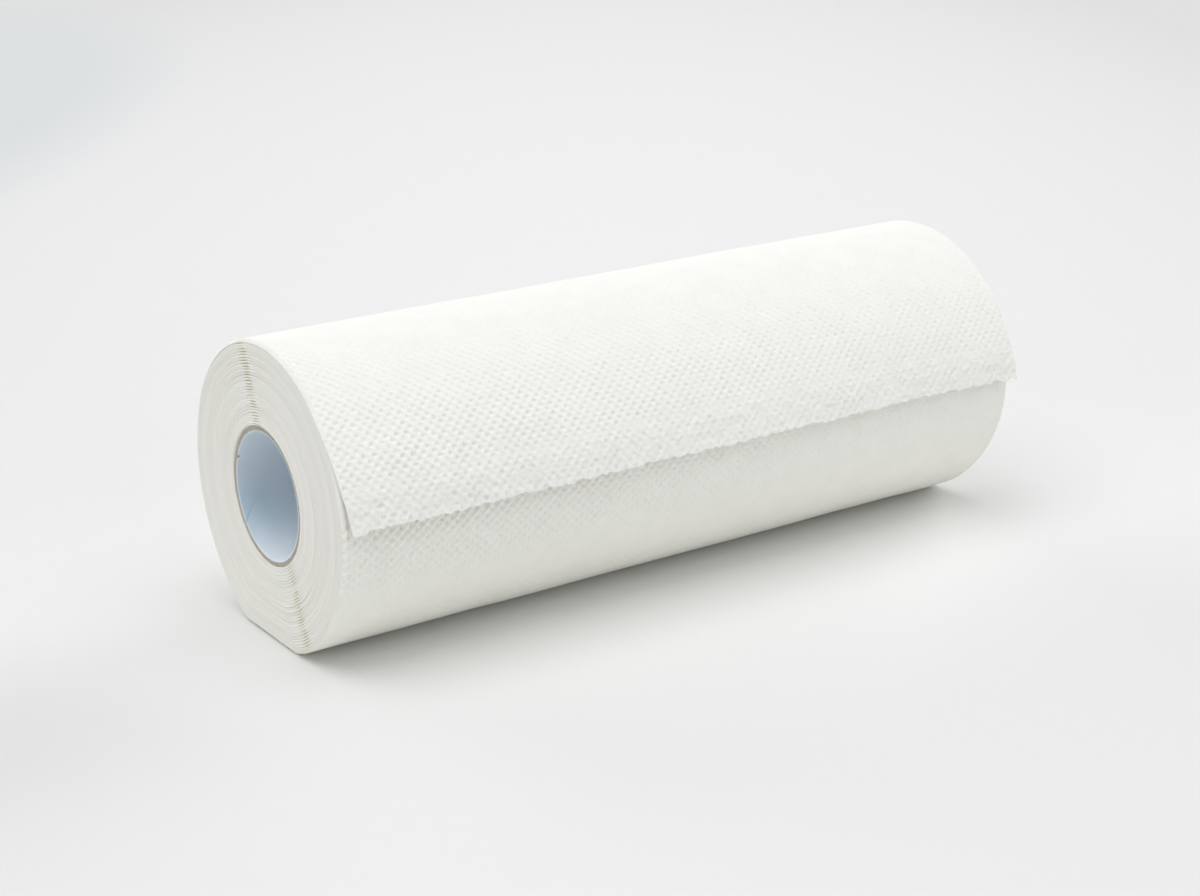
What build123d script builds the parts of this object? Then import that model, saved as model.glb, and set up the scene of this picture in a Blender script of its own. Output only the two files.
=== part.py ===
from build123d import *
import os
from math import asin, cos, degrees, radians, sin, sqrt

os.makedirs("parts", exist_ok=True)

# An exam table paper roll lying on its soft flat spot.
# +X runs along the roll's axis, +Z is up, and the origin is the middle of the core's bore.
# The web's free end comes down the front, which is the side at -Y.
# Angles in a cross-section are in degrees, from the back at +Y towards the top at +Z.

# Driving dimensions of the roll, in millimetres
roll_length = 250.0
roll_radius = 46.0
edge_softness = 1.5

# Driving dimensions of the core
bore_diameter = 38.1
liner_thickness = 0.4
board_thickness = 1.6
core_inset = 0.4

# Flat spot under the roll: how far it is pressed in, and how far it runs to each side
flat_drop = 1.15
flat_to_front = 13.5
flat_to_back = 17.5
flat_corner_radius = 9.0
sag_start_front = -150.0
sag_start_back = -12.0

# Turns of the web that show on the two ends, as one spiral gap between layers
turn_pitch = 2.9
turn_gap = 0.45
turn_depth = 0.5
first_turn_margin = 0.9
last_turn_margin = 0.9

# Creases across the turns: two rows of kinks in one straight line, leaning back at the top
crease_lean = 21.9
crease_offset = 5.3
kink_width = 2.0
kink_height = 0.9
kink_depth = 1.2
kinks_per_turn = 2

# Free end of the web, which lifts off the roll and is wound a little askew
web_thickness = 0.5
tail_root_angle = 128.0
tail_edge_height = 4.0
tail_lift = 2.4
tail_setback = 2.1
tail_overhang = 0.8

# Torn perforation along the free edge
perforation_pitch = 11.0
perforation_nick_width = 1.2
perforation_nick_depth = 0.5

# Sizes that follow from them
half_length = roll_length / 2
bore_radius = bore_diameter / 2
board_inner_radius = bore_radius + liner_thickness
core_radius = board_inner_radius + board_thickness
near_end = Plane.YZ.offset(-half_length)
far_end = Plane.YZ.offset(half_length)


def on_circle(radius, angle):
    """A point of a circle round the axis, in a cross-section."""
    return (radius * cos(radians(angle)), radius * sin(radians(angle)))


def along_circle(angle):
    """The direction in which the angle grows, at that angle."""
    return (-sin(radians(angle)), cos(radians(angle)))


def pressed(radius):
    """How much of the flat spot a turn of this radius takes: none at the core, all outside."""
    return (radius - core_radius) / (roll_radius - core_radius)


def draw_turn(back_radius, growth):
    """One turn of the web, from the back over the top, down the front and along the flat spot."""
    front_radius = back_radius + growth / 2
    end_radius = back_radius + growth
    share = pressed(end_radius)
    floor = -(front_radius - flat_drop * share)
    flat_front = (-flat_to_front * share, floor)
    flat_back = (flat_to_back * share, floor)
    ThreePointArc(
        (back_radius, 0),
        (-growth / 4, back_radius + growth / 4),
        (-front_radius, 0),
    )
    TangentArc((-front_radius, 0), flat_front, tangent=(0, -1))
    Line(flat_front, flat_back)
    TangentArc((end_radius, 0), flat_back, tangent=(0, -1))


def draw_spiral(first_radius, turns):
    """Turns of the web, one outside the other."""
    for turn in range(turns):
        draw_turn(first_radius + turn * turn_pitch, turn_pitch)


def crease_points(turns):
    """Places where the crease line crosses the turns, above and below the core."""
    lean = radians(crease_lean)
    points = []
    for side in (1, -1):
        for step in range(turns * kinks_per_turn):
            radius = first_turn_radius + (step + 0.5) * turn_pitch / kinks_per_turn
            reach = side * sqrt(radius**2 - crease_offset**2)
            across = reach * sin(lean) - crease_offset * cos(lean)
            up = reach * cos(lean) + crease_offset * sin(lean)
            points.append((across, up))
    return points


# The spiral starts just outside the core and ends inside the softened edge
first_turn_radius = core_radius + first_turn_margin
last_turn_radius = roll_radius - edge_softness - flat_drop - last_turn_margin
turn_count = int((last_turn_radius - first_turn_radius) / turn_pitch)

# Core: a board tube, lined with a thin coloured ply, a little shorter than the web is wide
core_end = Plane.YZ.offset(-half_length + core_inset)
core_length = roll_length - 2 * core_inset

with BuildPart() as core_liner:
    with BuildSketch(core_end):
        Circle(board_inner_radius)
        Circle(bore_radius, mode=Mode.SUBTRACT)
    extrude(amount=core_length)
core_liner.part.label = "core_liner"

with BuildPart() as core_tube:
    with BuildSketch(core_end):
        Circle(core_radius)
        Circle(board_inner_radius, mode=Mode.SUBTRACT)
    extrude(amount=core_length)
core_tube.part.label = "core_tube"

# Free end of the web: a thin flap that leaves the roll almost tangentially and hangs clear
tail_root_radius = roll_radius - web_thickness / 2
tail_edge_radius = roll_radius + tail_lift
tail_edge_angle = 180 - degrees(asin(tail_edge_height / tail_edge_radius))
outer_root = on_circle(tail_root_radius, tail_root_angle)
inner_root = on_circle(tail_root_radius - web_thickness, tail_root_angle)
inner_edge = on_circle(tail_edge_radius, tail_edge_angle)
outer_edge = on_circle(tail_edge_radius + web_thickness, tail_edge_angle)
tail_top = outer_root[1] + web_thickness
tail_bottom = tail_edge_height - web_thickness

with BuildPart() as tail:
    with BuildSketch(near_end):
        with BuildLine():
            TangentArc(outer_root, outer_edge, tangent=along_circle(tail_root_angle))
            Line(outer_edge, inner_edge)
            TangentArc(inner_root, inner_edge, tangent=along_circle(tail_root_angle))
            Line(inner_root, outer_root)
        make_face()
    extrude(amount=roll_length + tail_overhang)
    # Seen from the front its ends run askew: set back at the near end, past the roll at the far end
    with BuildSketch(Plane.XZ):
        Polygon(
            (-half_length + edge_softness, tail_top),
            (-half_length + tail_setback, tail_bottom),
            (half_length + tail_overhang, tail_bottom),
            (half_length - edge_softness, tail_top),
            align=None,
        )
    extrude(amount=2 * roll_radius, mode=Mode.INTERSECT)
    # Torn perforation: small nicks between the ties along the free edge
    edge_length = roll_length - tail_setback + tail_overhang
    edge_middle = (tail_setback + tail_overhang) / 2
    nick_count = int(edge_length / perforation_pitch) - 1
    with BuildSketch(Plane.XZ):
        with Locations((edge_middle, tail_edge_height)):
            with GridLocations(perforation_pitch, perforation_pitch, nick_count, 1):
                Rectangle(perforation_nick_width, 2 * perforation_nick_depth)
    extrude(amount=2 * roll_radius, mode=Mode.SUBTRACT)

# Paper: every turn of the web is one solid, pressed flat under the roll
with BuildPart() as paper_roll:
    with BuildSketch(near_end):
        with BuildLine():
            floor = -(roll_radius - flat_drop)
            sag_front = on_circle(roll_radius, sag_start_front)
            sag_back = on_circle(roll_radius, sag_start_back)
            over_the_top = 360 + sag_start_front - sag_start_back
            CenterArc((0, 0), roll_radius, sag_start_back, over_the_top)
            TangentArc(sag_front, (-flat_to_front, floor), tangent=along_circle(sag_start_front))
            Line((-flat_to_front, floor), (flat_to_back, floor))
            down_the_back = tuple(-part for part in along_circle(sag_start_back))
            TangentArc(sag_back, (flat_to_back, floor), tangent=down_the_back)
        make_face()
        flat_corners = vertices().group_by(Axis.Y)[0]
        fillet(flat_corners, radius=flat_corner_radius)
    extrude(amount=roll_length)
    end_edges = faces().filter_by(Axis.X).edges()
    chamfer(end_edges, length=edge_softness)

    # Hole for the core
    with BuildSketch(near_end):
        Circle(core_radius)
    extrude(amount=roll_length, mode=Mode.SUBTRACT)

    # One spiral gap between the turns on each end
    for end, inwards in ((near_end, turn_depth), (far_end, -turn_depth)):
        with BuildSketch(end):
            with BuildLine():
                draw_spiral(first_turn_radius, turn_count)
                draw_spiral(first_turn_radius + turn_gap, turn_count)
                spiral_end = first_turn_radius + turn_count * turn_pitch
                Line((first_turn_radius, 0), (first_turn_radius + turn_gap, 0))
                Line((spiral_end, 0), (spiral_end + turn_gap, 0))
            make_face()
        extrude(amount=inwards, mode=Mode.SUBTRACT)

    # Kinks of the creases, each a small open lozenge between two turns
    for end, inwards in ((near_end, kink_depth), (far_end, -kink_depth)):
        with BuildSketch(end):
            with Locations(*crease_points(turn_count)):
                Polygon(
                    (-kink_width / 2, 0),
                    (0, -kink_height / 2),
                    (kink_width / 2, 0),
                    (0, kink_height / 2),
                    rotation=-crease_lean,
                )
        extrude(amount=inwards, mode=Mode.SUBTRACT)

    add(tail.part)
paper_roll.part.label = "paper_roll"

export_step(core_liner.part, "parts/core_liner.step")
export_step(core_tube.part, "parts/core_tube.step")
export_step(paper_roll.part, "parts/paper_roll.step")
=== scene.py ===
from math import asin, atan2, cos, degrees, pi, radians, sin, sqrt

import bpy
import numpy as np
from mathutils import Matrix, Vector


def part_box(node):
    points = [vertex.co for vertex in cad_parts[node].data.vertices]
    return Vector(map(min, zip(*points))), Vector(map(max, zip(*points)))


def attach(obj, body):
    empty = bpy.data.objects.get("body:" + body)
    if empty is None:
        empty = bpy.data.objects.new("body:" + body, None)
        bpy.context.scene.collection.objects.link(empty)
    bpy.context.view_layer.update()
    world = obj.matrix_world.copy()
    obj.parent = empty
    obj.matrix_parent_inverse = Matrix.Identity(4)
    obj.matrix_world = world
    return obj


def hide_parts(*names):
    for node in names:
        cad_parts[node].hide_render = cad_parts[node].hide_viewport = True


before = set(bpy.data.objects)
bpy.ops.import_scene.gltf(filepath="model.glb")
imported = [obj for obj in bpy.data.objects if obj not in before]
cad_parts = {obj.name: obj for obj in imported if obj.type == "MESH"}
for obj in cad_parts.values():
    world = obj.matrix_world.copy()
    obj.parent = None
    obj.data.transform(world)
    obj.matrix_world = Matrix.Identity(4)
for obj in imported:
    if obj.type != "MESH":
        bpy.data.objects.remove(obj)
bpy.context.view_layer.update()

# Looks of an exam table paper roll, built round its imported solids.
# Lengths are in millimetres until a mesh is made, and MM turns them into metres.
# +X runs along the roll, +Z is up, and the web's free end comes down the front, at -Y.
MM = 0.001

# Sizes that the solids have too
half_length = 125.0
roll_radius = 46.0
edge_softness = 1.5
bore_radius = 19.05
liner_thickness = 0.4
board_thickness = 1.6
core_inset = 0.4
flat_to_front = 13.5
flat_to_back = 17.5
flat_corner_radius = 9.0
sag_start_front = -150.0
sag_start_back = -12.0
crease_lean = 21.9
crease_offset = 5.3
tail_root_angle = 128.0
tail_edge_height = 4.0
tail_setback = 2.1
tail_overhang = 0.8

# Sizes that follow from them or from the frame
floor_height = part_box("paper_roll")[0].z / MM
board_inner_radius = bore_radius + liner_thickness
core_radius = board_inner_radius + board_thickness
core_end = half_length - core_inset

# The web: thin embossed paper, torn off by hand along a perforation
web_thickness = 0.2
turn_drop = 0.4
lift_near_end = 2.8
lift_far_end = 2.7
lift_curve = 3.2
most_lifted = 1.1
uncurling = 3.0
torn_rows_reach = 3.0
edge_roundness = 1.2
edge_bulge = 0.06

# Dips of the torn edge: place along the roll, width and depth
tear_dips = ((-123.5, 2.5, 0.5), (-102.0, 32.0, 0.9), (95.0, 20.0, 0.4), (122.0, 6.0, 0.9))

# Unevenness of the web: its height, the size of its lumps and the seed of its draw
tear_waves = (0.3, 28.0, 11)
tear_teeth = (0.43, 1.3, 12)
lift_waves = (0.25, 45.0, 13)
tail_ripples = (0.22, 13.0, 14)
fine_crumples = (0.13, 0.95, 24)
coarse_crumples = (0.16, 2.3, 25)
fuzz = (0.025, 0.75, 26)
small_dents = (0.10, 14.0, 27)
large_dents = (0.16, 38.0, 28)

# The same for where the dimples lie, in parts of their spacing
column_drift = (0.04, 9.0, 21)
column_jitter = (0.035, 2.7, 29)
row_drift = (0.04, 9.0, 22)
row_jitter = (0.035, 2.7, 30)

# Embossing: rows of round dimples, staggered from row to row, on a web wound a little askew
dimple_pitch = 3.28
dimple_row_spacing = 1.522
dimple_row_slope = -0.0365
dimple_depth = 0.37
dimple_depth_spread = 0.3
dimple_depths_drawn = (211, 199)
dimple_seed = 23
joined_near = 0.2
joined_far = -0.24
joined_under_tail = 0.55
joined_fading = 1.6
between_under_tail = 0.25
round_loss_under_tail = 0.45
change_of_joining = 30.0

# Where the embossing is weaker or stronger, across the web and along it
far_end_embossing = 0.68
crest_embossing = 0.13
crest_start = 22.0
crest_start_at_rim = 14.0
near_rim_reach = 12.0
crest_reach = 45.0
crest_end = 95.0
crest_fade = 30.0
under_tail_near = 1.4
under_tail_far = 0.5
under_tail_end = 8.0
under_tail_reach = 14.0
under_tail_loss = 0.75
front_start = 60.0
front_fade = 30.0
covered_start = 3.0
covered_fade = 3.0
covered_loss = 0.8
rim_margin = 0.4
rim_fade = 1.2

# Crumpled strip along the tear, and a faint crease line above it
crumpled_reach = 10.0
crumpled_fade = 4.0
crumpled_loss = 0.3
crease_line_distance = 11.5
crease_line_width = 0.6
crease_line_depth = 0.08
crease_line_loss = 0.75
crease_line_end = 165.0
crease_line_fade = 120.0

# Turns of the web on the two ends
turns_shown = 29
turn_groove = 0.16
groove_spread = 0.7
groove_changes = 4.0
turn_stagger = 0.13
stagger_changes = 6.0
slow_stagger_share = 0.4
slow_stagger_changes = 1.4
lip_overhang = 0.28
lip_insets = (-0.5, -0.1, 0.6, 1.0, 0.0)
lip_depths = (0.30, 0.10, 0.12, 0.30, 0.95)
lip_waves = 14.0
lip_raggedness = 0.25
lip_unevenness = 0.05
lip_tone = 0.8
near_end_seed = 60
far_end_seed = 80

# Crease across those turns, which slits them open
crease_half_width = 2.6
crease_wander = 0.5
crease_wander_length = 2.6
crease_bulge = 0.16
crease_wobble = 0.16
crease_wobble_length = 1.9
crease_wobble_squeeze = 0.6
crease_stain_inside = 0.6
slit_depth = 0.5
slit_half_length = 2.1
slit_length_spread = 0.3
slit_shift = 0.5
slit_missing = -0.75
# Painted shade in the slits: its strength, its spread and its least value
slit_shade = 0.7
slit_shade_spread = 0.6
slit_shade_least = 0.15

# Steps from layer to layer through the random tables, one for each trait of a slit
slit_length_step = 3.7
slit_shift_step = 5.3
slit_missing_step = 7.9
slit_shade_step = 11.3

# The ends' outer edge, where the layers are rounded away and tuck under the outer turn's rim
rim_overlap = 0.65
rim_tuck = 0.55
rim_tuck_start = 0.3
rim_tuck_fade = 0.35
rim_turn = radians(70.0)
layers_worn_at_edge = 0.7
slits_worn_at_edge = 0.6

# How finely the meshes are divided
noise_cells = 128
outline_samples = 4000
samples_per_dimple = 6
along_step = 0.55
underside_step = 1.4
underside_overlap = 1.0
slope_step = 0.08
band_count = 4
rows_per_turn = 5
face_columns = 400
core_columns = 240


def smooth(value):
    """Runs gently from 0 to 1 as the value does, and stays there outside."""
    value = np.clip(value, 0.0, 1.0)
    return value * value * (3.0 - 2.0 * value)


def bell(distance, width):
    """1 at no distance, falling off softly to both sides."""
    return np.exp(-((distance / width) ** 2))


def between(first, last, share):
    """A value some share of the way from the first to the last."""
    return first + (last - first) * share


def fade(share):
    """Runs from 0 to 1 with no bend left at either end."""
    return share**3 * (share * (share * 6.0 - 15.0) + 10.0)


def noise(across, along, lump, seed):
    """Smooth random relief between -1 and 1, with lumps of about the given size."""
    table = np.random.default_rng(seed).uniform(-1.0, 1.0, (noise_cells, noise_cells))
    column, row = across / lump, along / lump
    left, low = np.floor(column).astype(int), np.floor(row).astype(int)
    right_share, high_share = fade(column - left), fade(row - low)
    left, low = left % noise_cells, low % noise_cells
    right, high = (left + 1) % noise_cells, (low + 1) % noise_cells
    lower = table[left, low] * (1.0 - right_share) + table[right, low] * right_share
    upper = table[left, high] * (1.0 - right_share) + table[right, high] * right_share
    return lower * (1.0 - high_share) + upper * high_share


def line_noise(place, lump, seed):
    """The same along a line."""
    return noise(place, place * 0, lump, seed)


def uneven(kind, across, along):
    """Unevenness of one kind over the web."""
    height, lump, seed = kind
    return height * noise(across, along, lump, seed)


def uneven_line(kind, place):
    """Unevenness of one kind along a line."""
    height, lump, seed = kind
    return height * line_noise(place, lump, seed)


# Outline of the roll: arcs and one flat, in the order that the web runs from its free end inwards


def direction(angle):
    """Unit vector at an angle in degrees, from the back at +Y towards the top."""
    return np.array([cos(radians(angle)), sin(radians(angle))])


def angle_of(vector):
    return degrees(atan2(vector[1], vector[0]))


def sag_arc(start_angle, foot):
    """Centre and radius of the arc that leaves the round and aims at one end of the flat."""
    inward = -direction(start_angle)
    start = -roll_radius * inward
    chord = np.array([foot, floor_height]) - start
    radius = chord @ chord / (2.0 * chord @ inward)
    return start + radius * inward, radius


def corner_centre(centre, radius, side):
    """Centre of the rounding between a sagging arc and the flat."""
    height = floor_height + flat_corner_radius
    reach = sqrt((radius - flat_corner_radius) ** 2 - (height - centre[1]) ** 2)
    return np.array([centre[0] + side * reach, height])


def arc_piece(centre, radius, first, last):
    """Length of an arc, and a function from distance along it to point and outward normal."""

    def at(distance):
        angle = radians(first) - distance / radius
        normal = np.stack([np.cos(angle), np.sin(angle)], axis=-1)
        return centre + radius * normal, normal

    return radius * radians(first - last), at


def flat_piece(start, end):
    """The same for the flat, from its back end to its front end."""

    def at(distance):
        point = np.stack([start - distance, np.full_like(distance, floor_height)], axis=-1)
        return point, np.broadcast_to([0.0, -1.0], point.shape)

    return start - end, at


axis = np.zeros(2)
back_sag, back_sag_radius = sag_arc(sag_start_back, flat_to_back)
front_sag, front_sag_radius = sag_arc(sag_start_front, -flat_to_front)
back_corner = corner_centre(back_sag, back_sag_radius, 1)
front_corner = corner_centre(front_sag, front_sag_radius, -1)
back_touch = angle_of(back_corner - back_sag)
front_touch = angle_of(front_corner - front_sag)
outline_pieces = (
    arc_piece(axis, roll_radius, 180.0, sag_start_back),
    arc_piece(back_sag, back_sag_radius, sag_start_back, back_touch),
    arc_piece(back_corner, flat_corner_radius, back_touch, -90.0),
    flat_piece(back_corner[0], front_corner[0]),
    arc_piece(front_corner, flat_corner_radius, -90.0, front_touch),
    arc_piece(front_sag, front_sag_radius, front_touch, sag_start_front),
    arc_piece(axis, roll_radius, sag_start_front, -180.0),
)
turn_length = sum(length for length, at in outline_pieces)


def outline(distance):
    """Points and outward normals of the section, by distance from its front, over the top."""
    distance = np.mod(distance, turn_length)
    points = np.empty(distance.shape + (2,))
    normals = np.empty(distance.shape + (2,))
    begin = 0.0
    for length, at in outline_pieces:
        inside = (distance >= begin) & (distance <= begin + length)
        points[inside], normals[inside] = at(distance[inside] - begin)
        begin += length
    return points, normals


# The outer turn of the web, from its torn edge once round the roll and in under itself

root_distance = roll_radius * radians(180.0 - tail_root_angle)
web_end = root_distance + turn_length
flat_half_width = half_length - edge_softness
web_half_width = flat_half_width + edge_softness * rim_turn


def far_share(across):
    """0 at the near end of the roll and 1 at the far end."""
    return (across + half_length) / (2.0 * half_length)


def tear_height(across):
    """Height of the torn edge above the roll's axis: slow waves, a few dips and small teeth."""
    height = tail_edge_height + uneven_line(tear_waves, across)
    for place, width, drop in tear_dips:
        height = height - drop * bell(across - place, width)
    return height + uneven_line(tear_teeth, across)


def tail_lift(across):
    """How far the torn edge stands off the roll."""
    return between(lift_near_end, lift_far_end, far_share(across)) + uneven_line(lift_waves, across)


def tear_distance(across):
    """Where the torn edge lies, along the web's own length."""
    return roll_radius * np.arcsin(tear_height(across) / (roll_radius + tail_lift(across)))


def lifted_share(across, along):
    """0 where the free end leaves the roll and 1 at its torn edge."""
    reach = root_distance - tear_distance(across)
    return np.clip((root_distance - along) / reach, 0.0, most_lifted)


def wound_askew(across, along):
    """How far the lifted free end is shifted along the roll."""
    shift = between(tail_setback, tail_overhang, far_share(across))
    return shift * lifted_share(across, along) ** 2


def dimple_grid(across, along):
    """Place in the embossing: two slanted counts that are whole in the middle of each dimple."""
    across = across + wound_askew(across, along)
    column = across / dimple_pitch
    column = column + uneven(column_drift, across, along) + uneven(column_jitter, across, along)
    row = (along - dimple_row_slope * across) / (2.0 * dimple_row_spacing)
    row = row + uneven(row_drift, across, along) + uneven(row_jitter, across, along)
    return row + column, row - column


def dimples(across, along):
    """Embossing of the web: round dimples, joined into faint valleys one way above the free end
    and the other way under it, where smaller dimples lie between them."""
    rising, falling = dimple_grid(across, along)
    drawn = np.random.default_rng(dimple_seed).normal(1.0, dimple_depth_spread, dimple_depths_drawn)
    whole_rising, whole_falling = np.round(rising).astype(int), np.round(falling).astype(int)
    depth = drawn[whole_rising % dimple_depths_drawn[0], whole_falling % dimple_depths_drawn[1]]
    round_part = (np.cos(pi * rising) * np.cos(pi * falling)) ** 2
    under_tail = smooth((along - turn_length / 2.0) / change_of_joining)
    joined_above = between(joined_near, joined_far, smooth(far_share(across)))
    joined_below = joined_under_tail * (1.0 - smooth(joined_fading * far_share(across)))
    valleys = (1.0 - under_tail) * joined_above * np.cos(pi * rising) ** 2
    valleys = valleys + under_tail * joined_below * (np.cos(pi * falling) ** 2 - 0.5)
    small_dimples = under_tail * between_under_tail * np.cos(2.0 * pi * (rising - falling))
    round_part = round_part * (1.0 - round_loss_under_tail * under_tail)
    return -depth * round_part - valleys - small_dimples


def embossing(across, along, from_tear):
    """Strength of the embossing, and how far a place is crumpled or on the crease line.

    It is flattened on the crest, towards the far end, at the rims and by the tear, and it is
    strong on the front just under the free end."""
    torn_share = 1.0 - smooth((from_tear - crumpled_reach + crumpled_fade / 2.0) / crumpled_fade)
    crease_share = bell(from_tear - crease_line_distance, crease_line_width)
    crease_share = crease_share * smooth((crease_line_end - across) / crease_line_fade)
    strength = (1.0 - crumpled_loss * torn_share) * (1.0 - crease_line_loss * crease_share)

    to_far_end = smooth(far_share(across))
    strength = strength * between(1.0, far_end_embossing, to_far_end)
    starts = crest_start + crest_start_at_rim * bell(across + half_length, near_rim_reach)
    on_crest = smooth((along - starts) / crest_reach)
    on_crest = on_crest * (1.0 - smooth((along - crest_end) / crest_fade))
    strength = strength * between(1.0, crest_embossing, on_crest)

    below_front = turn_length - along
    under_tail = between(under_tail_near, under_tail_far, to_far_end**2)
    below_fade = smooth((below_front - under_tail_end) / under_tail_reach)
    under_tail = under_tail * (1.0 - under_tail_loss * below_fade)
    towards_front = smooth((front_start - below_front) / front_fade)
    strength = strength * between(1.0, under_tail, towards_front)

    covered = smooth((along - turn_length - covered_start) / covered_fade)
    in_from_rim = half_length + rim_margin - np.abs(across)
    strength = strength * (1.0 - covered_loss * covered) * smooth(in_from_rim / rim_fade)
    return strength, torn_share, crease_share


def relief(across, along, from_tear):
    """Height of the paper's surface over the smooth web: dimples, crumples and gentle dents."""
    strength, torn_share, crease_share = embossing(across, along, from_tear)
    embossed = dimple_depth * strength * dimples(across, along)
    crumples = uneven(fine_crumples, across, along) + uneven(coarse_crumples, across, along)
    dents = uneven(small_dents, across, along) + uneven(large_dents, across, along)
    height = embossed + torn_share * crumples + uneven(fuzz, across, along) + dents
    return height - crease_line_depth * crease_share


def web_surface(across, along, depth=0.0):
    """Points of the outer turn, or of a surface some depth below it."""
    lifted = lifted_share(across, along)
    lift = tail_lift(across) * lifted**lift_curve + uneven(tail_ripples, across, along) * lifted
    settled = turn_drop * np.maximum(along - root_distance, 0.0) / turn_length
    curled = 1.0 - smooth(uncurling * lifted)
    beyond = np.maximum(np.abs(across) - flat_half_width, 0.0)
    turned = beyond / edge_softness
    reach = np.minimum(np.abs(across), flat_half_width)
    reach = reach + beyond + curled * (edge_softness * np.sin(turned) - beyond)
    inward = curled * edge_softness * (1.0 - np.cos(turned))
    height = lift - settled - inward - depth + relief(across, along, along - tear_distance(across))
    points, normals = outline(along)
    section = points + normals * height[..., None]
    x = np.sign(across) * reach + wound_askew(across, along)
    return np.concatenate([x[..., None], section], axis=-1)


def surface_slopes(across, along, depth):
    """Unit vectors across and along the web and off it, from small steps to each side."""
    right, left = across + slope_step, across - slope_step
    behind, ahead = along + slope_step, along - slope_step
    across_way = web_surface(right, along, depth) - web_surface(left, along, depth)
    along_way = web_surface(across, behind, depth) - web_surface(across, ahead, depth)
    ways = (across_way, along_way, np.cross(across_way, along_way))
    return [way / np.linalg.norm(way, axis=-1, keepdims=True) for way in ways]


# Meshes


def corner_faces(corner):
    """Four-sided faces between the neighbours in a grid of point numbers."""
    faces = np.stack([corner[:-1, :-1], corner[:-1, 1:], corner[1:, 1:], corner[1:, :-1]], axis=-1)
    return faces.reshape(-1, 4)


def grid_faces(rows, columns):
    """Four-sided faces of a grid of points, row by row."""
    return corner_faces(np.arange(rows * columns).reshape(rows, columns))


def around_axis(x, radius, angle):
    """Points by place along the roll, distance from its axis and angle in radians."""
    return np.stack([x, radius * np.cos(angle), radius * np.sin(angle)], axis=-1)


def make_piece(name, points, faces, material, node, attributes={}):
    """One object of the part, from points in millimetres, standing for a node of the frame."""
    used, renumbered = np.unique(faces, return_inverse=True)
    faces = renumbered.reshape(faces.shape)
    points = points.reshape(-1, 3)[used]
    mesh = bpy.data.meshes.new(name)
    mesh.from_pydata((points * MM).tolist(), [], faces.tolist())
    for label, values in attributes.items():
        layer = mesh.attributes.new(label, "FLOAT", "POINT")
        layer.data.foreach_set("value", values.ravel()[used].astype(np.float32))
    mesh.shade_smooth()
    mesh.materials.append(material)
    piece = bpy.data.objects.new(name, mesh)
    bpy.context.scene.collection.objects.link(piece)
    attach(piece, "root")
    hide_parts(node)
    return piece, used


def crease_place(y, z):
    """Distances down the crease's line and off it, for places on a cross-section."""
    lean = radians(crease_lean)
    return y * sin(lean) + z * cos(lean), -y * cos(lean) + z * sin(lean) - crease_offset


def fit_to_tear(across, along):
    """Moves the rows nearest the torn edge so that they follow it."""
    start = along.min()
    tear = tear_distance(across)
    share = (along - start) / torn_rows_reach
    fitted = tear + share * (start + torn_rows_reach - tear)
    return np.where(share < 1.0, fitted, along)


def web_rows():
    """Places of the rows along the web, their depths under its outside, and the edge's row.

    They run down the underside of the free end, round the torn edge and once round the roll."""
    start = roll_radius * asin(tail_edge_height / roll_radius)
    outer_rows = np.arange(start, web_end + along_step, along_step)
    inner_rows = np.arange(start, root_distance + underside_overlap, underside_step)[::-1]
    rows = np.concatenate([inner_rows, [start], outer_rows])
    edge_row = len(inner_rows)
    depth = np.zeros(len(rows))
    depth[:edge_row] = web_thickness
    depth[edge_row] = web_thickness / 2.0
    return rows, depth, edge_row


def web_normals(across, along, depth, edge_row):
    """Outward normals of the sheet, turned round its torn edge and its two sides."""
    across_way, along_way, normals = surface_slopes(across, along, depth)
    normals[:edge_row] *= -1.0
    normals[edge_row] = edge_roundness * normals[edge_row] - along_way[edge_row]
    normals[edge_row] /= np.linalg.norm(normals[edge_row], axis=-1, keepdims=True)
    normals[edge_row + 1 :, 0] = -across_way[edge_row + 1 :, 0]
    normals[edge_row + 1 :, -1] = across_way[edge_row + 1 :, -1]
    return normals


def web_attributes(across, along, points, edge_row):
    """What the paper's material needs to know about each place of the web."""
    rising, falling = dimple_grid(across, along)
    strength, torn_share, crease_share = embossing(across, along, along - tear_distance(across))
    strength[: edge_row + 1] *= 0.0
    on_rim = smooth((np.abs(across) - flat_half_width + rim_margin) / (2.0 * rim_margin))
    off_line = crease_place(points[..., 1], points[..., 2])[1]
    return {
        "rising": rising,
        "falling": falling,
        "embossing": strength,
        "torn": torn_share,
        "lifted": smooth((root_distance - along) / root_distance),
        "crease": bell(off_line, crease_half_width) * on_rim,
    }


def make_web(material):
    """The outer turn in bands side by side, which meet without a step.

    A column at each end closes the sheet's thickness."""
    rows, depth_of_row, edge_row = web_rows()
    column_step = dimple_pitch / samples_per_dimple
    width = round(2.0 * web_half_width / column_step / band_count)
    columns = np.linspace(-web_half_width, web_half_width, band_count * width + 1)
    columns = np.concatenate([columns[:1], columns, columns[-1:]])
    closes_side = np.zeros(len(columns), dtype=bool)
    closes_side[[0, -1]] = True

    across, along = np.meshgrid(columns, rows)
    along = fit_to_tear(across, along)
    along[edge_row] -= edge_bulge
    depth = np.maximum(depth_of_row[:, None], web_thickness * closes_side)
    points = web_surface(across, along, depth)
    normals = web_normals(across, along, depth, edge_row)
    attributes = web_attributes(across, along, points, edge_row)

    for band in range(band_count):
        first = band * width + (band > 0)
        last = (band + 1) * width + 1 + (band == band_count - 1)
        part = slice(first, last + 1)
        faces = grid_faces(len(rows), last + 1 - first)
        face_row, face_column = np.divmod(np.arange(len(faces)), last - first)
        on_side = closes_side[first + face_column] | closes_side[first + face_column + 1]
        piece, used = make_piece(
            f"outer_turn_{band + 1}",
            points[:, part],
            faces[~on_side | (face_row > edge_row)],
            material,
            "paper_roll",
            {label: values[:, part] for label, values in attributes.items()},
        )
        band_normals = normals[:, part].reshape(-1, 3)[used]
        piece.data.normals_split_custom_set_from_vertices(band_normals.tolist())


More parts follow.
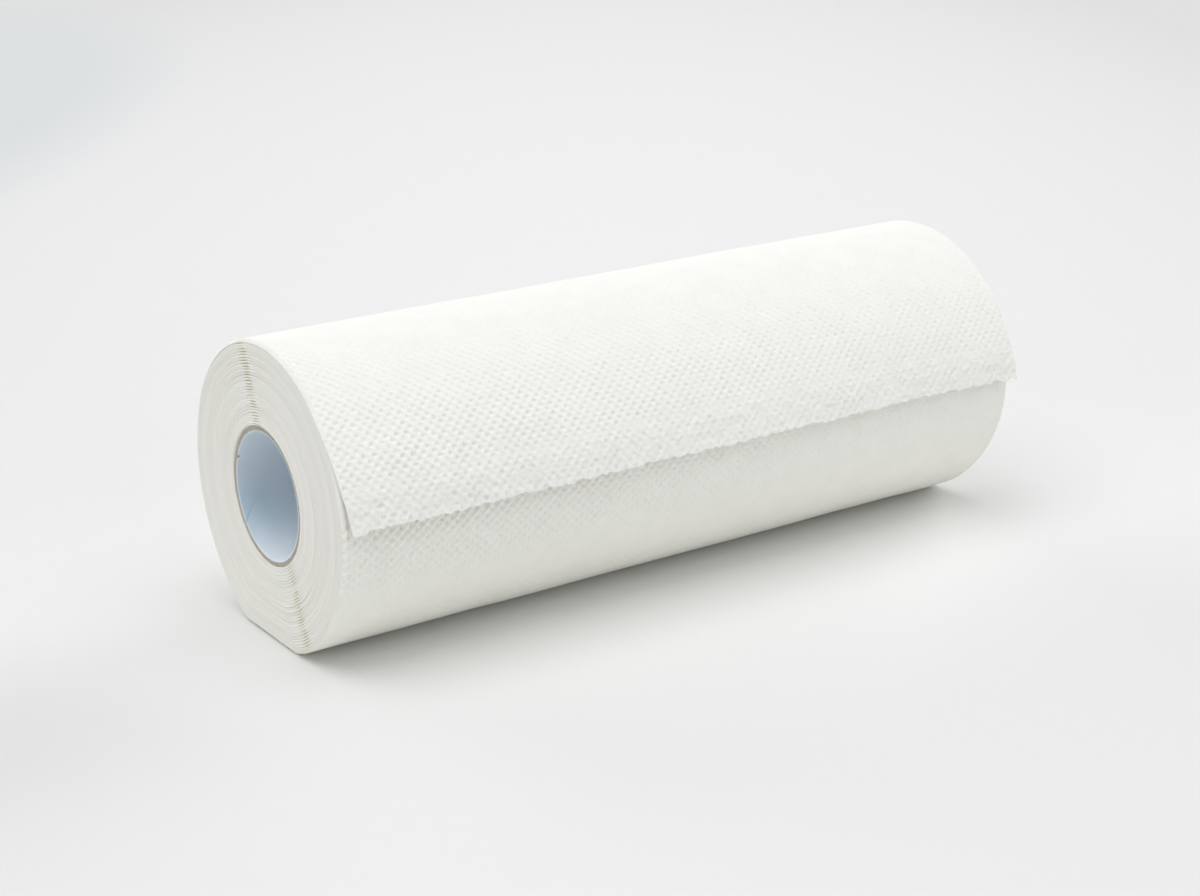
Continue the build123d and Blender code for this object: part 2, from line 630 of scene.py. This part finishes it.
def outline_radius(angle):
    """Distance from the axis to the outer turn as it winds in, at angles in radians."""
    distance = np.linspace(0.0, turn_length, outline_samples + 1)[:-1]
    points = outline(distance)[0]
    seen_angle = np.arctan2(points[:, 1], points[:, 0])
    settled = turn_drop * np.mod(distance - root_distance, turn_length) / turn_length
    radius = np.hypot(points[:, 0], points[:, 1]) - settled
    return np.interp(angle, seen_angle, radius, period=2.0 * pi)


def first_turn_lip(side, seed):
    """Edge of the innermost turn, which curls a little over the end of the core's board."""
    angle = np.linspace(0.0, 2.0 * pi, face_columns + 1)[None, :]
    inset = np.array(lip_insets)[:, None] * lip_overhang
    depth = np.array(lip_depths)[:, None]
    ragged = line_noise(np.mod(angle, 2.0 * pi) * lip_waves, 1.0, seed)
    radius = core_radius - inset * (1.0 + lip_raggedness * ragged)
    x = side * (half_length - depth - lip_unevenness * ragged)
    points = around_axis(x, radius, angle)
    return points.reshape(-1, 3), grid_faces(*radius.shape)[:, ::-1]


def layer_relief(web_place, crown, seed):
    """Depth of the rounded layers, and how far each is wound in or out, by place along the web."""
    quick = line_noise(web_place * stagger_changes, 1.0, seed)
    slow = line_noise(web_place * slow_stagger_changes, 1.0, seed + 1)
    stagger = (1.0 - slow_stagger_share) * quick + slow_stagger_share * slow
    changing = line_noise(web_place * groove_changes, 1.0, seed + 2)
    groove = turn_groove * (1.0 + groove_spread * changing)
    return groove * (1.0 - crown) - turn_stagger * stagger, stagger


def round_the_edge(depth, from_outline):
    """Rounds the end's outer edge, which dips under the rim of the outer turn."""
    round_share = np.clip(1.0 - from_outline / edge_softness, 0.0, 1.0)
    rim = edge_softness * (1.0 - cos(rim_turn))
    tucked = 1.0 - smooth((from_outline - rim + rim_tuck_start) / rim_tuck_fade)
    depth = depth * (1.0 - layers_worn_at_edge * round_share) + rim_tuck * tucked
    return depth + edge_softness * (1.0 - np.sqrt(1.0 - round_share**2)), round_share


def crease_slits(layer, off_line, down_line, seed):
    """How far each layer is slit open where the crease crosses it, and how much painted shade each
    slit gets.
    """

    def chance(step, draw):
        return noise(layer * step, np.sign(down_line), 1.0, seed + draw)

    half_length_here = slit_half_length * (1.0 + slit_length_spread * chance(slit_length_step, 4))
    off_middle = off_line - slit_shift * chance(slit_shift_step, 5)
    opened = np.clip(1.0 - (off_middle / half_length_here) ** 2, 0.0, 1.0)
    opened = opened * (chance(slit_missing_step, 6) > slit_missing)
    slit_painted_shade = slit_shade + slit_shade_spread * chance(slit_shade_step, 9)
    return opened, np.clip(slit_painted_shade, slit_shade_least, 1.0)


def spiral_faces(open_share):
    """Faces between the spiral's rows, where the last column meets the first one a turn further.

    Faces that lie wholly before the spiral's start or past its end are left out."""
    rows, columns = open_share.shape
    corner = np.arange(rows * columns).reshape(rows, columns)
    joined = corner[np.minimum(np.arange(rows) + rows_per_turn, rows - 1), 0]
    faces = corner_faces(np.concatenate([corner, joined[:, None]], axis=1))
    share = open_share.ravel()[faces]
    hair = 1e-9
    return faces[(share.max(axis=1) > hair) & (share.min(axis=1) < 1.0 - hair)]


def make_end_turns(name, side, seed, material):
    """The cut edges of all turns on one end: a spiral of rounded layers, slit at the creases."""
    row = np.arange((turns_shown + 1) * rows_per_turn + 1)[:, None] - rows_per_turn
    angle = np.arange(face_columns)[None, :] * (2.0 * pi / face_columns)
    turned = angle / (2.0 * pi)
    open_share = (row / rows_per_turn + turned) / turns_shown
    share = np.clip(open_share, 0.0, 1.0)
    room = outline_radius(angle) - rim_overlap - core_radius
    radius = core_radius + share * room
    y, z = radius * np.cos(angle), radius * np.sin(angle)

    # Place within a layer, and place along the web, which is the same layer after a full turn
    layer = row // rows_per_turn + 0 * angle
    within = (row % rows_per_turn) / rows_per_turn + 0 * angle
    crown = np.sqrt(np.sin(pi * within))
    depth, stagger = layer_relief(layer + turned, crown, seed)
    depth, round_share = round_the_edge(depth, rim_overlap + (1.0 - share) * room)

    # Crease, which opens the layers along their joints and rumples them
    down_line, off_line = crease_place(y, z)
    off_line = off_line + crease_wander * line_noise(down_line, crease_wander_length, seed + 3)
    band = bell(off_line, crease_half_width)
    # Slit openings, and how much painted shade darkens each one
    opened, slit_painted_shade = crease_slits(layer, off_line, down_line, seed)
    opened = opened * (within == 0.0)
    depth = depth + slit_depth * np.sqrt(opened) * (1.0 - slits_worn_at_edge * round_share)
    depth = depth - crease_bulge * band * crown
    wobble = noise(down_line, off_line * crease_wobble_squeeze, crease_wobble_length, seed + 7)
    wobble = crease_wobble * wobble * band * np.sin(pi * share)
    y, z = y + wobble * np.cos(angle), z + wobble * np.sin(angle)

    points = np.stack([side * (half_length - depth), y, z], axis=-1).reshape(-1, 3)
    lip_points, lip_faces = first_turn_lip(side, seed + 8)
    faces = np.concatenate([spiral_faces(open_share), lip_faces + len(points)])
    if side > 0:
        faces = faces[:, ::-1]
    on_lip = np.zeros(len(lip_points))
    attributes = {
        "slit": np.append(opened * slit_painted_shade, on_lip),
        "crease": np.append(band * between(crease_stain_inside, 1.0, share), on_lip),
        "layer_tone": np.append(0.5 + 0.5 * stagger, on_lip + lip_tone),
    }
    points = np.concatenate([points, lip_points])
    make_piece(name, points, faces, material, "paper_roll", attributes)


# The core: a board tube with its plies showing at the cut ends, and the blue ply inside it

ply_count = 4
ply_groove = 0.12
ply_groove_half_width = 0.09
board_bevel = 0.2
board_edge = 0.05
board_seeds = (41, 42)
board_lumps_height = 0.09
board_lumps_around = 9.0
board_fibres_height = 0.05
board_fibres_around = 40.0
board_fibres_inward = 4.0
board_ends_apart = 5.0

seam_lead = 95.0
seam_start = (-121.0, -27.1)
seam_shows = 3.6
seam_fade_start = 0.4
seam_fading = 0.85
seam_half_width = 0.45
seam_sides = (-0.9, -0.35, 0.35, 0.9)
seam_groove = 0.08
ply_step = 0.05
ply_step_reach = 9.0
lining_waves = (0.03, 9.0, 43)
lining_end_rows = (0.0, 0.35, 0.7, 1.1, 1.6, 2.4, 3.6, 5.4)
lining_middle_start = 8.0
lining_middle_rows = 60
lining_clearance = 0.02
nick_angle = 21.0
nick_width = 0.9
nick_length = 1.1

# Painted shade on one side and painted light on the bottom of the lining: middle and half width in
# degrees
shade_painted_side = (-27.0, 28.0)
shade_painted_start = 4.0
shade_painted_fade = 12.0
shade_painted_loss = 0.7
light_painted_bottom = (-88.0, 24.0)


def board_section():
    """Closed outline of the tube's wall: radius and place along the roll, near end first."""
    radii = [core_radius, core_radius - board_edge]
    insets = [board_bevel, board_edge]
    ply = board_thickness / ply_count
    for joint in range(1, ply_count):
        middle = core_radius - joint * ply
        radii += [middle + ply_groove_half_width, middle, middle - ply_groove_half_width]
        insets += [0.0, ply_groove, 0.0]
    radii += [board_inner_radius + board_edge, board_inner_radius]
    insets += [board_edge, board_bevel]
    near_side = [-core_end + inset for inset in insets]
    far_side = [core_end - inset for inset in insets[::-1]]
    radii = radii + radii[::-1] + radii[:1]
    return np.array(radii), np.array(near_side + far_side + near_side[:1])


def make_core_board(material):
    """The tube's wall, with bevelled ends and a groove between plies."""
    radius, section_x = board_section()
    angle = np.arange(core_columns + 1) * (2.0 * pi / core_columns)
    angle, radius = np.meshgrid(angle, radius)
    section_x = section_x[:, None]
    side = np.sign(section_x)
    wrap = np.mod(angle, 2.0 * pi)
    end = side * board_ends_apart
    lumps = noise(wrap * board_lumps_around, end + radius, 1.0, board_seeds[0])
    fibre_place = end + radius * board_fibres_inward
    fibres = noise(wrap * board_fibres_around, fibre_place, 1.0, board_seeds[1])
    rough = board_lumps_height * lumps + board_fibres_height * fibres
    points = around_axis(section_x - side * np.abs(rough), radius, angle)
    make_piece("core_board", points, grid_faces(*angle.shape), material, "core_tube")


def degrees_from(angle, middle):
    """Degrees from a middle, given in degrees, to an angle in radians, the shorter way round."""
    turned = angle - radians(middle)
    return np.degrees(np.arctan2(np.sin(turned), np.cos(turned)))


def make_core_lining(material):
    """The blue ply, wound in a helix with one butt seam, nicked at its near end.

    It has painted shade along one side near the opening and painted light along the bottom."""
    around = np.linspace(0.0, 2.0 * pi, core_columns + 1)
    beside_seam = np.mod(np.array(seam_sides) / bore_radius, 2.0 * pi)
    around = np.sort(np.concatenate([around, beside_seam]))
    end_rows = core_end - np.array(lining_end_rows)
    middle_end = core_end - lining_middle_start
    middle_rows = np.linspace(-middle_end, middle_end, lining_middle_rows)
    length = np.concatenate([-end_rows, middle_rows, end_rows[::-1]])
    around, length = np.meshgrid(around, length)
    start_length, start_angle = seam_start
    seam_angle = radians(start_angle) + (length - start_length) * (2.0 * pi / seam_lead)
    angle = around + seam_angle
    from_end = length + core_end

    from_seam = bore_radius * np.minimum(around, 2.0 * pi - around)
    seam_loss = seam_fading * smooth(from_end / seam_shows - seam_fade_start)
    seam = bell(from_seam, seam_half_width) * (1.0 - seam_loss)
    after_seam = np.exp(-bore_radius * around / ply_step_reach)
    y, z = bore_radius * np.cos(angle), bore_radius * np.sin(angle)
    radius = bore_radius + seam_groove * seam - ply_step * after_seam
    radius = radius + uneven(lining_waves, y, length + z)
    from_nick = bore_radius * np.abs(np.radians(degrees_from(angle, nick_angle)))
    nick = np.clip(1.0 - from_nick / nick_width, 0.0, 1.0)
    nick = nick * np.clip(1.0 - from_end / (2.0 * nick_length), 0.0, 1.0)
    points = around_axis(length + nick_length * nick, radius, angle)

    # The ply's cut ends turn outwards to the board
    board_side = points.copy()
    widen = (board_inner_radius + lining_clearance) / radius
    board_side[..., 1:] *= widen[..., None]
    points = np.concatenate([board_side[:1], points, board_side[-1:]], axis=0)
    # Painted shade along one side near the opening, and painted light along the bottom
    shade_middle, shade_half_width = shade_painted_side
    painted_shade = bell(degrees_from(angle, shade_middle), shade_half_width)
    painted_shade = painted_shade * (1.0 - shade_painted_loss * smooth((from_end - shade_painted_start) / shade_painted_fade))
    light_middle, light_half_width = light_painted_bottom
    painted_light = bell(degrees_from(angle, light_middle), light_half_width)
    attributes = {"seam": seam, "shade_painted_side": painted_shade, "light_painted_bottom": painted_light}
    for label, values in attributes.items():
        attributes[label] = np.concatenate([values[:1], values, values[-1:]], axis=0)
    cut = np.zeros(points.shape[:2])
    cut[[0, -1]] = 1.0
    attributes["cut"] = cut
    faces = grid_faces(*cut.shape)[:, ::-1]
    make_piece("core_lining", points, faces, material, "core_liner", attributes)


# Materials

paper_white = (0.932, 0.928, 0.862)
paper_shade = (0.912, 0.908, 0.843)
# Dimples' colour: denser paper and painted shade
pressed_paper_and_painted_shade = (0.84, 0.837, 0.767)
warm_stain = (0.91, 0.885, 0.755)
turn_shade = (0.876, 0.868, 0.80)
turn_white = (0.936, 0.93, 0.855)
slit_shadow = (0.50, 0.48, 0.30)
board_brown = (0.50, 0.47, 0.40)
dark_fibre = (0.45, 0.42, 0.347)
pale_fibre = (0.58, 0.545, 0.463)
fleck_brown = (0.32, 0.29, 0.24)
ply_blue = (0.78, 0.87, 0.93)
ply_cloud = (0.765, 0.868, 0.934)
ply_clear = (0.815, 0.893, 0.949)
# Painted shade and painted light on the blue ply
ply_painted_shade = (0.61, 0.75, 0.83)
ply_painted_light = (0.875, 0.947, 0.975)
seam_blue = (0.42, 0.52, 0.62)
cut_grey = (0.72, 0.72, 0.68)

# Darkening of the dimples, as denser paper and as painted shade: how round it looks, the least and
# most of it, and its share of colour
pit_roundness = 1.4
least_pressed = 0.45
most_pressed = 1.25
pit_painted_shade = 0.25


def new_material(name, colour, roughness, shine):
    """A material with its fixed values on the shader itself, and the colour to build on."""
    material = bpy.data.materials.new(name)
    material.use_nodes = True
    tree = material.node_tree
    shader = tree.nodes["Principled BSDF"]
    shader.inputs["Base Color"].default_value = (*colour, 1.0)
    shader.inputs["Roughness"].default_value = roughness
    shader.inputs["Specular IOR Level"].default_value = shine
    return material, tree, shader


def add_node(tree, kind, settings={}, inputs={}):
    node = tree.nodes.new(kind)
    for name, value in settings.items():
        setattr(node, name, value)
    for name, value in inputs.items():
        node.inputs[name].default_value = value
    return node


def grain(tree, lump, detail=2.0, roughness=0.5, stretch=None):
    """Random pattern from 0 to 1 in the part's own space, with lumps of a size in millimetres."""
    place = add_node(tree, "ShaderNodeTexCoord").outputs["Object"]
    texture = add_node(
        tree,
        "ShaderNodeTexNoise",
        inputs={"Scale": 1.0 / (lump * MM), "Detail": detail, "Roughness": roughness},
    )
    if stretch is not None:
        mapping = add_node(tree, "ShaderNodeMapping", inputs={"Scale": stretch})
        tree.links.new(place, mapping.inputs["Vector"])
        place = mapping.outputs["Vector"]
    tree.links.new(place, texture.inputs["Vector"])
    return texture.outputs["Fac"]


def blend(tree, share, first, second):
    """A colour between two, each either a colour or a socket."""
    mix = add_node(tree, "ShaderNodeMix", {"data_type": "RGBA"})
    tree.links.new(share, mix.inputs["Factor"])
    for socket, value in ((mix.inputs[6], first), (mix.inputs[7], second)):
        if isinstance(value, tuple):
            socket.default_value = (*value, 1.0)
        else:
            tree.links.new(value, socket)
    return mix.outputs[2]


def spread(tree, value, low, high, low_out=0.0, high_out=1.0):
    """Stretches part of a value's range over another range."""
    ramp = add_node(
        tree,
        "ShaderNodeMapRange",
        inputs={"From Min": low, "From Max": high, "To Min": low_out, "To Max": high_out},
    )
    tree.links.new(value, ramp.inputs["Value"])
    return ramp.outputs["Result"]


def attribute(tree, name):
    return add_node(tree, "ShaderNodeAttribute", {"attribute_name": name}).outputs["Fac"]


def calculate(tree, operation, first, second=None):
    """A number worked out from sockets or plain values."""
    node = add_node(tree, "ShaderNodeMath", {"operation": operation})
    for socket, value in ((node.inputs[0], first), (node.inputs[1], second)):
        if isinstance(value, float):
            socket.default_value = value
        elif value is not None:
            tree.links.new(value, socket)
    return node.outputs["Value"]


def bump(tree, height, distance, normal=None):
    """Fine relief of a height in millimetres."""
    node = add_node(tree, "ShaderNodeBump", inputs={"Strength": 1.0, "Distance": distance * MM})
    tree.links.new(height, node.inputs["Height"])
    if normal is not None:
        tree.links.new(normal, node.inputs["Normal"])
    return node.outputs["Normal"]


def dimple_shade(tree):
    """Middles of the dimples, 0 to about 1, each pressed a little differently."""
    counts = [attribute(tree, "rising"), attribute(tree, "falling")]
    waves = [calculate(tree, "COSINE", calculate(tree, "MULTIPLY", count, pi)) for count in counts]
    middle = calculate(tree, "MULTIPLY", *waves)
    middle = calculate(tree, "MULTIPLY", middle, middle)
    middle = calculate(tree, "POWER", middle, pit_roundness)
    cell = add_node(tree, "ShaderNodeCombineXYZ")
    for count, socket in zip(counts, cell.inputs):
        tree.links.new(calculate(tree, "ROUND", count), socket)
    chance = add_node(tree, "ShaderNodeTexWhiteNoise")
    tree.links.new(cell.outputs["Vector"], chance.inputs["Vector"])
    pressure = spread(tree, chance.outputs["Value"], 0.0, 1.0, least_pressed, most_pressed)
    pressed = calculate(tree, "MULTIPLY", middle, pressure)
    return calculate(tree, "MULTIPLY", pressed, attribute(tree, "embossing"))


def make_paper():
    """Soft matt tissue: fine fibres, faint mottling, and dimples darkened as denser paper and as
    painted shade.
    """
    name = "embossed_tissue"
    material, tree, shader = new_material(name, paper_white, roughness=0.95, shine=0.12)
    shader.inputs["Subsurface Radius"].default_value = (1.0, 1.0, 0.9)
    shader.inputs["Subsurface Scale"].default_value = 0.4 * MM
    see_through = spread(tree, attribute(tree, "lifted"), low=0.78, high=1.0, high_out=0.4)
    tree.links.new(see_through, shader.inputs["Subsurface Weight"])

    clouds = spread(tree, grain(tree, lump=9.0, detail=3.0), low=0.35, high=0.65)
    mottled = blend(tree, clouds, paper_shade, paper_white)
    warmed = blend(tree, attribute(tree, "crease"), mottled, warm_stain)
    pits = dimple_shade(tree)
    # Dimples darkened, partly as denser paper and partly as painted shade
    painted_shade_colour = blend(tree, calculate(tree, "MULTIPLY", pits, pit_painted_shade), warmed, pressed_paper_and_painted_shade)
    tree.links.new(painted_shade_colour, shader.inputs["Base Color"])

    dimpled = bump(tree, calculate(tree, "MULTIPLY", pits, -1.0), distance=0.08)
    fibres = grain(tree, lump=0.35, detail=4.0, roughness=0.6, stretch=(0.5, 1.0, 1.0))
    fibrous = bump(tree, fibres, distance=0.05, normal=dimpled)
    torn_fibres = grain(tree, lump=0.8, detail=3.0, roughness=0.7)
    torn_fibres = calculate(tree, "MULTIPLY", torn_fibres, attribute(tree, "torn"))
    torn = bump(tree, torn_fibres, distance=0.15, normal=fibrous)
    tree.links.new(torn, shader.inputs["Normal"])
    return material


def make_cut_edges():
    """Cut edges of the turns: fine rings, warm at the creases and painted shade in the slits."""
    material, tree, shader = new_material("cut_turns", paper_white, roughness=0.95, shine=0.1)
    toned = blend(tree, attribute(tree, "layer_tone"), turn_shade, turn_white)
    warm = spread(tree, attribute(tree, "crease"), low=0.1, high=1.0, high_out=0.8)
    warmed = blend(tree, warm, toned, warm_stain)
    # Painted shade in the slits
    slit = blend(tree, attribute(tree, "slit"), warmed, slit_shadow)
    tree.links.new(slit, shader.inputs["Base Color"])

    place = add_node(tree, "ShaderNodeTexCoord")
    rings = add_node(
        tree,
        "ShaderNodeTexWave",
        {"wave_type": "RINGS", "rings_direction": "X"},
        {"Scale": 110.0, "Distortion": 1.5, "Detail": 2.0, "Detail Scale": 0.6},
    )
    tree.links.new(place.outputs["Object"], rings.inputs["Vector"])
    ringed = bump(tree, rings.outputs["Fac"], distance=0.05)
    fibres = grain(tree, lump=0.3, detail=3.0, roughness=0.6)
    tree.links.new(bump(tree, fibres, distance=0.05, normal=ringed), shader.inputs["Normal"])
    return material


def make_board():
    """Raw kraft board: brown fibres with darker flecks."""
    material, tree, shader = new_material("kraft_board", board_brown, roughness=0.85, shine=0.2)
    fibres = spread(tree, grain(tree, lump=0.5, detail=4.0, roughness=0.65), low=0.35, high=0.65)
    fibrous = blend(tree, fibres, dark_fibre, pale_fibre)
    flecks = spread(tree, grain(tree, lump=1.6), low=0.62, high=0.75)
    flecked = blend(tree, flecks, fibrous, fleck_brown)
    tree.links.new(flecked, shader.inputs["Base Color"])
    rough = bump(tree, grain(tree, lump=0.25, detail=3.0), distance=0.08)
    tree.links.new(rough, shader.inputs["Normal"])
    return material


def make_blue_ply():
    """Smooth blue-grey paper with a darker helical seam, pale cut ends, painted shade along one
    side and painted light along the bottom.
    """
    material, tree, shader = new_material("blue_ply", ply_blue, roughness=0.6, shine=0.3)
    clouds = spread(tree, grain(tree, lump=14.0, detail=3.0), low=0.3, high=0.7)
    cloudy = blend(tree, clouds, ply_cloud, ply_clear)
    # Painted shade on one side of the ply and painted light on its bottom
    ply_with_painted_shade = blend(tree, attribute(tree, "shade_painted_side"), cloudy, ply_painted_shade)
    ply_with_painted_light = blend(tree, attribute(tree, "light_painted_bottom"), ply_with_painted_shade, ply_painted_light)
    seam = spread(tree, attribute(tree, "seam"), low=0.1, high=1.0, high_out=0.5)
    seamed = blend(tree, seam, ply_with_painted_light, seam_blue)
    cut = blend(tree, attribute(tree, "cut"), seamed, cut_grey)
    tree.links.new(cut, shader.inputs["Base Color"])
    rough = bump(tree, grain(tree, lump=0.4, detail=3.0), distance=0.02)
    tree.links.new(rough, shader.inputs["Normal"])
    return material


make_web(make_paper())
cut_edges = make_cut_edges()
make_end_turns("near_end_turns", -1, near_end_seed, cut_edges)
make_end_turns("far_end_turns", 1, far_end_seed, cut_edges)
make_core_board(make_board())
make_core_lining(make_blue_ply())


# Floor, light and camera, in metres

floor_reach = 6.0
floor_white = (0.822, 0.822, 0.793)
# Painted shade away from the roll, and painted cool shade in a far corner
floor_painted_shade = (0.688, 0.688, 0.659)
floor_painted_cool_shade = (0.66, 0.688, 0.667)
backdrop_white = (0.84, 0.84, 0.84)

# Two places on the floor, to the right of the roll and away from the camera, and their reach:
# painted light falls off away from the first, painted cool shade lies round the second
painted_light_place = (0.0, 0.15)
painted_light_reach = (0.55, 1.6)
cool_shade_place = (-0.48, 0.76)
cool_shade_reach = (0.2, 0.5)

camera_place = (-0.39236, -0.54976, 0.22606)
camera_heading = radians(-34.9576)
camera_dip = radians(19.2854)
camera_lens = 67.43
camera_sensor = 36.0

# Soft suns: degrees to the right of the camera's place, degrees up, and share of the light
soft_suns = {
    "top_light": (0.0, 90.0, 0.158),
    "high_right_light": (60.0, 62.0, 0.193),
    "high_left_light": (-60.0, 62.0, 0.34),
    "low_back_right_light": (135.0, 14.0, 0.55),
    "low_back_left_light": (-135.0, 14.0, 0.316),
    "low_front_right_light": (45.0, 14.0, 0.175),
    "low_front_left_light": (-35.0, 14.0, 0.112),
}
sun_width = radians(45.0)
sky_share = 0.155
light_tint = (0.99, 0.99, 1.035)


def distance_from(tree, place, reach):
    """Distance over the floor from a place, counted in its reach."""
    right, away = place
    x = right * cos(camera_heading) - away * sin(camera_heading)
    y = right * sin(camera_heading) + away * cos(camera_heading)
    coordinates = add_node(tree, "ShaderNodeTexCoord")
    mapping = add_node(
        tree,
        "ShaderNodeMapping",
        {"vector_type": "TEXTURE"},
        {"Location": (x, y, 0.0), "Rotation": (0.0, 0.0, camera_heading), "Scale": (*reach, 1.0)},
    )
    tree.links.new(coordinates.outputs["Object"], mapping.inputs["Vector"])
    length = add_node(tree, "ShaderNodeVectorMath", {"operation": "LENGTH"})
    tree.links.new(mapping.outputs["Vector"], length.inputs[0])
    return length.outputs["Value"]


def make_floor_paint():
    """Pale sheet with painted light that falls off softly away from the roll, and painted cool
    shade in one far corner.
    """
    material, tree, shader = new_material("floor", floor_white, roughness=0.9, shine=0.1)
    away = distance_from(tree, painted_light_place, painted_light_reach)
    # Painted falloff of light away from the roll, and painted cool shade in the far corner
    painted_falloff = spread(tree, calculate(tree, "MULTIPLY", away, away), low=0.0, high=1.0)
    painted_shade_colour = blend(tree, painted_falloff, floor_white, floor_painted_shade)
    corner = distance_from(tree, cool_shade_place, cool_shade_reach)
    cool_shade_share = spread(tree, corner, low=0.6, high=1.0, low_out=1.0, high_out=0.0)
    tree.links.new(blend(tree, cool_shade_share, painted_shade_colour, floor_painted_cool_shade), shader.inputs["Base Color"])
    return material


def make_floor():
    mesh = bpy.data.meshes.new("floor")
    corners = [(-1, -1), (1, -1), (1, 1), (-1, 1)]
    corners = [(x * floor_reach, y * floor_reach, 0.0) for x, y in corners]
    mesh.from_pydata(corners, [], [(0, 1, 2, 3)])
    mesh.materials.append(make_floor_paint())
    floor = bpy.data.objects.new("floor", mesh)
    floor.location.z = floor_height * MM
    bpy.context.scene.collection.objects.link(floor)


def make_sky():
    """Even light from all round, and a pale backdrop where the sky itself is seen."""
    world = bpy.data.worlds.new("studio")
    bpy.context.scene.world = world
    world.use_nodes = True
    tree = world.node_tree
    ray = add_node(tree, "ShaderNodeLightPath").outputs
    mirrored = calculate(tree, "MAXIMUM", ray["Is Glossy Ray"], ray["Is Transmission Ray"])
    seen = calculate(tree, "MAXIMUM", ray["Is Camera Ray"], mirrored)
    sky = tuple(sky_share * tint for tint in light_tint)
    backdrop = blend(tree, seen, sky, backdrop_white)
    tree.links.new(backdrop, tree.nodes["Background"].inputs["Color"])


def make_soft_sun(name, side, height, share):
    """A wide, distant lamp. A share of 1 shows white as white on what faces it."""
    lamp_data = bpy.data.lights.new(name, "SUN")
    lamp_data.angle = sun_width
    lamp_data.energy = share * pi
    lamp_data.color = light_tint
    lamp = bpy.data.objects.new(name, lamp_data)
    lamp.rotation_euler = (radians(90.0 - height), 0.0, camera_heading + radians(side))
    bpy.context.scene.collection.objects.link(lamp)


def make_camera():
    camera_data = bpy.data.cameras.new("camera")
    camera_data.sensor_width = camera_sensor
    camera_data.lens = camera_lens
    camera = bpy.data.objects.new("camera", camera_data)
    camera.location = camera_place
    camera.rotation_euler = (radians(90.0) - camera_dip, 0.0, camera_heading)
    bpy.context.scene.collection.objects.link(camera)
    return camera


make_floor()
make_sky()
for name, (side, height, share) in soft_suns.items():
    make_soft_sun(name, side, height, share)
bpy.context.scene.camera = make_camera()
bpy.context.scene.view_settings.view_transform = "Standard"
